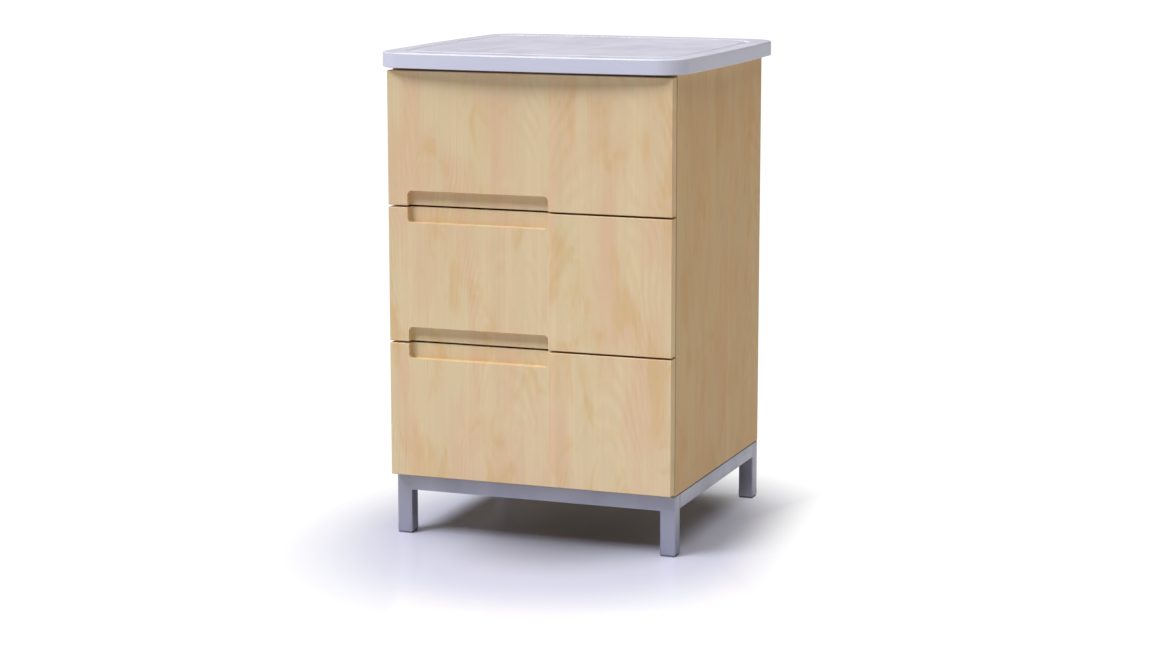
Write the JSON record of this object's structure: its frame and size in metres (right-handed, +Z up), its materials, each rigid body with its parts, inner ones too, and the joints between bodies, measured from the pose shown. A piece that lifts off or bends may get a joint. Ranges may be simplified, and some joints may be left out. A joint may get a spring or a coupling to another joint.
{
  "type": "bedside cabinet",
  "caption": "Bedside cabinet with slab-front drawers, routed finger pulls, a bowed worktop with a drip groove and a square-tube base.",
  "frame": {"origin": "middle of the cabinet's footprint at floor level", "axes": "+Z up, the drawers face -Y and slide out along -Y, +X to the right of someone who faces the drawers"},
  "size_m": [0.515, 0.5336, 0.774],
  "materials": {
    "maple_laminate": "satin laminate, vertical maple grain",
    "worktop_laminate": "satin, lavender grey",
    "base_paint": "fine-textured powder coat, lavender grey",
    "slide_steel": "zinc plated",
    "box_board": "lacquered birch board",
    "back_board": "matt laminate",
    "glide_plastic": "matt black",
    "screw_steel": "zinc plated"
  },
  "bodies": {
    "carcass": {"worktop": "worktop_laminate", "side_panel_left": "maple_laminate", "side_panel_right": "maple_laminate", "bottom_panel": "maple_laminate", "top_rail_front": "maple_laminate", "top_rail_rear": "maple_laminate", "back_panel": "back_board", "base_frame_front": "base_paint", "base_frame_rear": "base_paint", "base_side_rail_left": "base_paint", "base_side_rail_right": "base_paint", "base_screw_front_left": "screw_steel", "base_screw_front_right": "screw_steel", "base_screw_rear_left": "screw_steel", "base_screw_rear_right": "screw_steel", "glide_front_left": "glide_plastic", "glide_front_right": "glide_plastic", "glide_rear_left": "glide_plastic", "glide_rear_right": "glide_plastic", "top_slide_outer_left": "slide_steel", "top_slide_outer_right": "slide_steel", "middle_slide_outer_left": "slide_steel", "middle_slide_outer_right": "slide_steel", "bottom_slide_outer_left": "slide_steel", "bottom_slide_outer_right": "slide_steel"},
    "top_drawer": {"top_drawer_front": "maple_laminate", "top_box_front": "box_board", "top_box_side_left": "box_board", "top_box_side_right": "box_board", "top_box_back": "box_board", "top_box_bottom": "box_board", "top_slide_inner_left": "slide_steel", "top_slide_inner_right": "slide_steel"},
    "top_slide_members": {"top_slide_middle_left": "slide_steel", "top_slide_middle_right": "slide_steel"},
    "middle_drawer": {"middle_drawer_front": "maple_laminate", "middle_box_front": "box_board", "middle_box_side_left": "box_board", "middle_box_side_right": "box_board", "middle_box_back": "box_board", "middle_box_bottom": "box_board", "middle_slide_inner_left": "slide_steel", "middle_slide_inner_right": "slide_steel"},
    "middle_slide_members": {"middle_slide_middle_left": "slide_steel", "middle_slide_middle_right": "slide_steel"},
    "bottom_drawer": {"bottom_drawer_front": "maple_laminate", "bottom_box_front": "box_board", "bottom_box_side_left": "box_board", "bottom_box_side_right": "box_board", "bottom_box_back": "box_board", "bottom_box_bottom": "box_board", "bottom_slide_inner_left": "slide_steel", "bottom_slide_inner_right": "slide_steel"},
    "bottom_slide_members": {"bottom_slide_middle_left": "slide_steel", "bottom_slide_middle_right": "slide_steel"}
  },
  "joints": [
    {"name": "top_drawer_slide", "type": "slide", "parent": "carcass", "child": "top_drawer", "axis": [0, -1, 0], "range_m": [0, 0.38]},
    {"name": "top_members_slide", "type": "slide", "parent": "carcass", "child": "top_slide_members", "axis": [0, -1, 0], "range_m": [0, 0.19]},
    {"name": "middle_drawer_slide", "type": "slide", "parent": "carcass", "child": "middle_drawer", "axis": [0, -1, 0], "range_m": [0, 0.38]},
    {"name": "middle_members_slide", "type": "slide", "parent": "carcass", "child": "middle_slide_members", "axis": [0, -1, 0], "range_m": [0, 0.19]},
    {"name": "bottom_drawer_slide", "type": "slide", "parent": "carcass", "child": "bottom_drawer", "axis": [0, -1, 0], "range_m": [0, 0.38]},
    {"name": "bottom_members_slide", "type": "slide", "parent": "carcass", "child": "bottom_slide_members", "axis": [0, -1, 0], "range_m": [0, 0.19]}
  ],
  "couplings": [
    {"joint": "top_members_slide", "follows": "top_drawer_slide", "ratio": 0.5},
    {"joint": "middle_members_slide", "follows": "middle_drawer_slide", "ratio": 0.5},
    {"joint": "bottom_members_slide", "follows": "bottom_drawer_slide", "ratio": 0.5}
  ]
}
